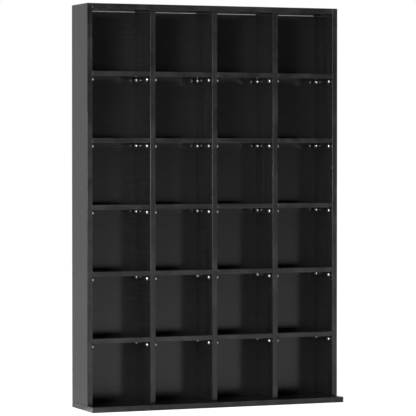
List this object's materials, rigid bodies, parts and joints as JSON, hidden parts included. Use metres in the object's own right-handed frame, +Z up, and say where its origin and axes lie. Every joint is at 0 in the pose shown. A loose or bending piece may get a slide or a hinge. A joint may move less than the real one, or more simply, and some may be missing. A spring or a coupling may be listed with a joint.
{
  "type": "cd storage unit",
  "caption": "Tall open cube unit of equal square compartments on a deeper base board, with loose shelves on metal studs and thin back panels, for disc cases and small books.",
  "frame": {"origin": "centre of the base board's underside, on the floor", "axes": "+Z up, the open front faces -Y, +X to the viewer's right"},
  "size_m": [0.88, 0.2, 1.305],
  "materials": {
    "black_board": "black wood-effect melamine, fine grain, satin",
    "black_sheet": "black printed fibreboard sheet, satin",
    "plated_steel": "nickel or zinc plated",
    "dowel_wood": "plain beech"
  },
  "bodies": {
    "frame": {"base_board": "black_board", "top_board": "black_board", "side_panel_left": "black_board", "side_panel_right": "black_board", "divider_1": "black_board", "divider_2": "black_board", "divider_3": "black_board", "back_panel_1": "black_sheet", "back_panel_2": "black_sheet", "back_panel_3": "black_sheet", "back_panel_4": "black_sheet", "base_screw_1_front": "plated_steel", "base_screw_1_rear": "plated_steel", "base_screw_2_front": "plated_steel", "base_screw_2_rear": "plated_steel", "base_screw_3_front": "plated_steel", "base_screw_3_rear": "plated_steel", "base_screw_4_front": "plated_steel", "base_screw_4_rear": "plated_steel", "base_screw_5_front": "plated_steel", "base_screw_5_rear": "plated_steel", "cam_left_front": "plated_steel", "cam_left_rear": "plated_steel", "cam_right_front": "plated_steel", "cam_right_rear": "plated_steel", "cam_bolt_left_front": "plated_steel", "cam_bolt_left_rear": "plated_steel", "cam_bolt_right_front": "plated_steel", "cam_bolt_right_rear": "plated_steel", "dowel_1_front": "dowel_wood", "dowel_1_rear": "dowel_wood", "dowel_2_front": "dowel_wood", "dowel_2_rear": "dowel_wood", "dowel_3_front": "dowel_wood", "dowel_3_rear": "dowel_wood"},
    "shelf_c1_l1": {"shelf_c1_l1": "black_board"},
    "shelf_c1_l2": {"shelf_c1_l2": "black_board"},
    "shelf_c1_l3": {"shelf_c1_l3": "black_board"},
    "shelf_c1_l4": {"shelf_c1_l4": "black_board"},
    "shelf_c1_l5": {"shelf_c1_l5": "black_board"},
    "shelf_c2_l1": {"shelf_c2_l1": "black_board"},
    "shelf_c2_l2": {"shelf_c2_l2": "black_board"},
    "shelf_c2_l3": {"shelf_c2_l3": "black_board"},
    "shelf_c2_l4": {"shelf_c2_l4": "black_board"},
    "shelf_c2_l5": {"shelf_c2_l5": "black_board"},
    "shelf_c3_l1": {"shelf_c3_l1": "black_board"},
    "shelf_c3_l2": {"shelf_c3_l2": "black_board"},
    "shelf_c3_l3": {"shelf_c3_l3": "black_board"},
    "shelf_c3_l4": {"shelf_c3_l4": "black_board"},
    "shelf_c3_l5": {"shelf_c3_l5": "black_board"},
    "shelf_c4_l1": {"shelf_c4_l1": "black_board"},
    "shelf_c4_l2": {"shelf_c4_l2": "black_board"},
    "shelf_c4_l3": {"shelf_c4_l3": "black_board"},
    "shelf_c4_l4": {"shelf_c4_l4": "black_board"},
    "shelf_c4_l5": {"shelf_c4_l5": "black_board"}
  },
  "joints": [
    {"name": "shelf_c1_l1_slide", "type": "slide", "parent": "frame", "child": "shelf_c1_l1", "axis": [0, -1, 0], "range_m": [0, 0.145]},
    {"name": "shelf_c1_l2_slide", "type": "slide", "parent": "frame", "child": "shelf_c1_l2", "axis": [0, -1, 0], "range_m": [0, 0.145]},
    {"name": "shelf_c1_l3_slide", "type": "slide", "parent": "frame", "child": "shelf_c1_l3", "axis": [0, -1, 0], "range_m": [0, 0.145]},
    {"name": "shelf_c1_l4_slide", "type": "slide", "parent": "frame", "child": "shelf_c1_l4", "axis": [0, -1, 0], "range_m": [0, 0.145]},
    {"name": "shelf_c1_l5_slide", "type": "slide", "parent": "frame", "child": "shelf_c1_l5", "axis": [0, -1, 0], "range_m": [0, 0.145]},
    {"name": "shelf_c2_l1_slide", "type": "slide", "parent": "frame", "child": "shelf_c2_l1", "axis": [0, -1, 0], "range_m": [0, 0.145]},
    {"name": "shelf_c2_l2_slide", "type": "slide", "parent": "frame", "child": "shelf_c2_l2", "axis": [0, -1, 0], "range_m": [0, 0.145]},
    {"name": "shelf_c2_l3_slide", "type": "slide", "parent": "frame", "child": "shelf_c2_l3", "axis": [0, -1, 0], "range_m": [0, 0.145]},
    {"name": "shelf_c2_l4_slide", "type": "slide", "parent": "frame", "child": "shelf_c2_l4", "axis": [0, -1, 0], "range_m": [0, 0.145]},
    {"name": "shelf_c2_l5_slide", "type": "slide", "parent": "frame", "child": "shelf_c2_l5", "axis": [0, -1, 0], "range_m": [0, 0.145]},
    {"name": "shelf_c3_l1_slide", "type": "slide", "parent": "frame", "child": "shelf_c3_l1", "axis": [0, -1, 0], "range_m": [0, 0.145]},
    {"name": "shelf_c3_l2_slide", "type": "slide", "parent": "frame", "child": "shelf_c3_l2", "axis": [0, -1, 0], "range_m": [0, 0.145]},
    {"name": "shelf_c3_l3_slide", "type": "slide", "parent": "frame", "child": "shelf_c3_l3", "axis": [0, -1, 0], "range_m": [0, 0.145]},
    {"name": "shelf_c3_l4_slide", "type": "slide", "parent": "frame", "child": "shelf_c3_l4", "axis": [0, -1, 0], "range_m": [0, 0.145]},
    {"name": "shelf_c3_l5_slide", "type": "slide", "parent": "frame", "child": "shelf_c3_l5", "axis": [0, -1, 0], "range_m": [0, 0.145]},
    {"name": "shelf_c4_l1_slide", "type": "slide", "parent": "frame", "child": "shelf_c4_l1", "axis": [0, -1, 0], "range_m": [0, 0.145]},
    {"name": "shelf_c4_l2_slide", "type": "slide", "parent": "frame", "child": "shelf_c4_l2", "axis": [0, -1, 0], "range_m": [0, 0.145]},
    {"name": "shelf_c4_l3_slide", "type": "slide", "parent": "frame", "child": "shelf_c4_l3", "axis": [0, -1, 0], "range_m": [0, 0.145]},
    {"name": "shelf_c4_l4_slide", "type": "slide", "parent": "frame", "child": "shelf_c4_l4", "axis": [0, -1, 0], "range_m": [0, 0.145]},
    {"name": "shelf_c4_l5_slide", "type": "slide", "parent": "frame", "child": "shelf_c4_l5", "axis": [0, -1, 0], "range_m": [0, 0.145]}
  ]
}
